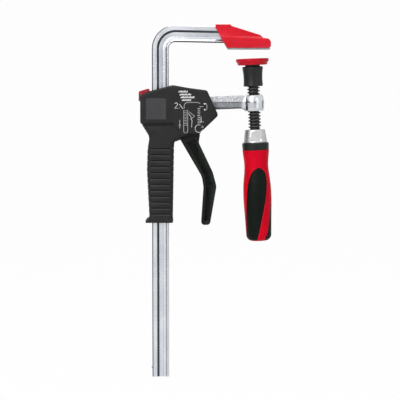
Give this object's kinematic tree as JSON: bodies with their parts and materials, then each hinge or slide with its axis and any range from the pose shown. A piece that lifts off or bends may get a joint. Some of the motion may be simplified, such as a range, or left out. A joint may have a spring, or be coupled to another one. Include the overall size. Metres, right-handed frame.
{
  "type": "quick release bar clamp",
  "caption": "One-handed quick release bar clamp with a squeeze lever, a release button, a screw spindle with a turning handle and red-capped jaws.",
  "frame": {"origin": "where the spindle's axis meets the fixed jaw's clamping face", "axes": "+Z along the rail towards the fixed jaw, +X away from the rail, -Y towards the printed front"},
  "size_m": [0.1268, 0.0312, 0.3378],
  "materials": {
    "rail_steel": "zinc plated drawn steel, satin",
    "jaw_red": "moulded, semi-gloss",
    "casing_black": "moulded glass-filled polyamide, fine grain",
    "lever_black": "moulded glass-filled polyamide",
    "button_red": "moulded",
    "forged_steel": "forged and zinc plated, mottled",
    "screw_black": "black oxide, oiled",
    "ferrule_steel": "satin turned",
    "collar_black": "moulded",
    "handle_red": "moulded polypropylene",
    "insert_black": "soft thermoplastic",
    "pad_red": "moulded",
    "sleeve_black": "moulded, semi-gloss",
    "plate_steel": "hardened",
    "spring_steel": "drawn wire",
    "pin_steel": "ground",
    "cup_plastic": "acetal"
  },
  "bodies": {
    "rail": {"rail": "rail_steel", "stop_pin": "pin_steel", "jaw_plate": "plate_steel", "jaw_cap": "jaw_red"},
    "carriage": {"casing_front": "casing_black", "casing_back": "casing_black", "casing_screws": "pin_steel", "sliding_arm": "forged_steel", "lever_pin": "pin_steel", "drive_spring": "spring_steel", "brake_spring": "spring_steel"},
    "lever": {"lever": "lever_black", "pusher_pin": "pin_steel"},
    "drive_plates": {"drive_plates": "plate_steel"},
    "brake_plate": {"brake_plate": "plate_steel"},
    "release_button": {"release_button": "button_red"},
    "pad_sleeve": {"pad_sleeve": "sleeve_black"},
    "spindle": {"spindle": "screw_black", "sleeve_clip": "spring_steel", "handle_ferrule": "ferrule_steel", "handle_collar": "collar_black", "tang_pin": "pin_steel", "handle_body": "handle_red", "handle_insert_1": "insert_black", "handle_insert_2": "insert_black", "handle_insert_3": "insert_black"},
    "ball_cup": {"ball_cup": "cup_plastic"},
    "pad": {"pad_plate": "plate_steel", "pad_cap": "pad_red"}
  },
  "joints": [
    {"name": "carriage_slide", "type": "slide", "parent": "rail", "child": "carriage", "axis": [0, 0, 1], "range_m": [-0.1379, 0.0078]},
    {"name": "lever_squeeze", "type": "hinge", "parent": "carriage", "child": "lever", "pos_m": [-0.067, 0, -0.07634], "axis": [0, 1, 0], "range_deg": [0, 16], "stiffness_Nm_per_rad": 0.6, "springref_deg": -20.05},
    {"name": "drive_slide", "type": "slide", "parent": "carriage", "child": "drive_plates", "axis": [0, 0, -1], "range_m": [0, 0.0037], "deforming": ["drive_spring"]},
    {"name": "release_press", "type": "slide", "parent": "carriage", "child": "release_button", "axis": [0, 0, -1], "range_m": [0, 0.0024], "stiffness_N_per_m": 400, "springref_m": -0.004},
    {"name": "brake_tilt", "type": "hinge", "parent": "carriage", "child": "brake_plate", "pos_m": [-0.075, 0, -0.04594], "axis": [0, -1, 0], "range_deg": [0, 5.05], "deforming": ["brake_spring"]},
    {"name": "spindle_feed", "type": "slide", "parent": "carriage", "child": "pad_sleeve", "axis": [0.0401, 0, -0.9992], "range_m": [-0.0076, 0.0077]},
    {"name": "spindle_turn", "type": "hinge", "parent": "pad_sleeve", "child": "spindle", "pos_m": [0.00196, 0, -0.04876], "axis": [0.0401, 0, -0.9992], "range_deg": [-916, 930]},
    {"name": "pad_tilt_across", "type": "hinge", "parent": "pad_sleeve", "child": "ball_cup", "pos_m": [0.00061, 0, -0.01529], "axis": [0.9992, 0, 0.0401], "range_deg": [-5, 5]},
    {"name": "pad_tilt_along", "type": "hinge", "parent": "ball_cup", "child": "pad", "pos_m": [0.00061, 0, -0.01529], "axis": [0, 1, 0], "range_deg": [-5, 5]}
  ],
  "couplings": [
    {"joint": "drive_slide", "follows": "lever_squeeze", "m_per_rad": 0.0129},
    {"joint": "brake_tilt", "follows": "release_press", "rad_per_m": 36.36},
    {"joint": "spindle_turn", "follows": "spindle_feed", "rad_per_m": 2094.4}
  ]
}
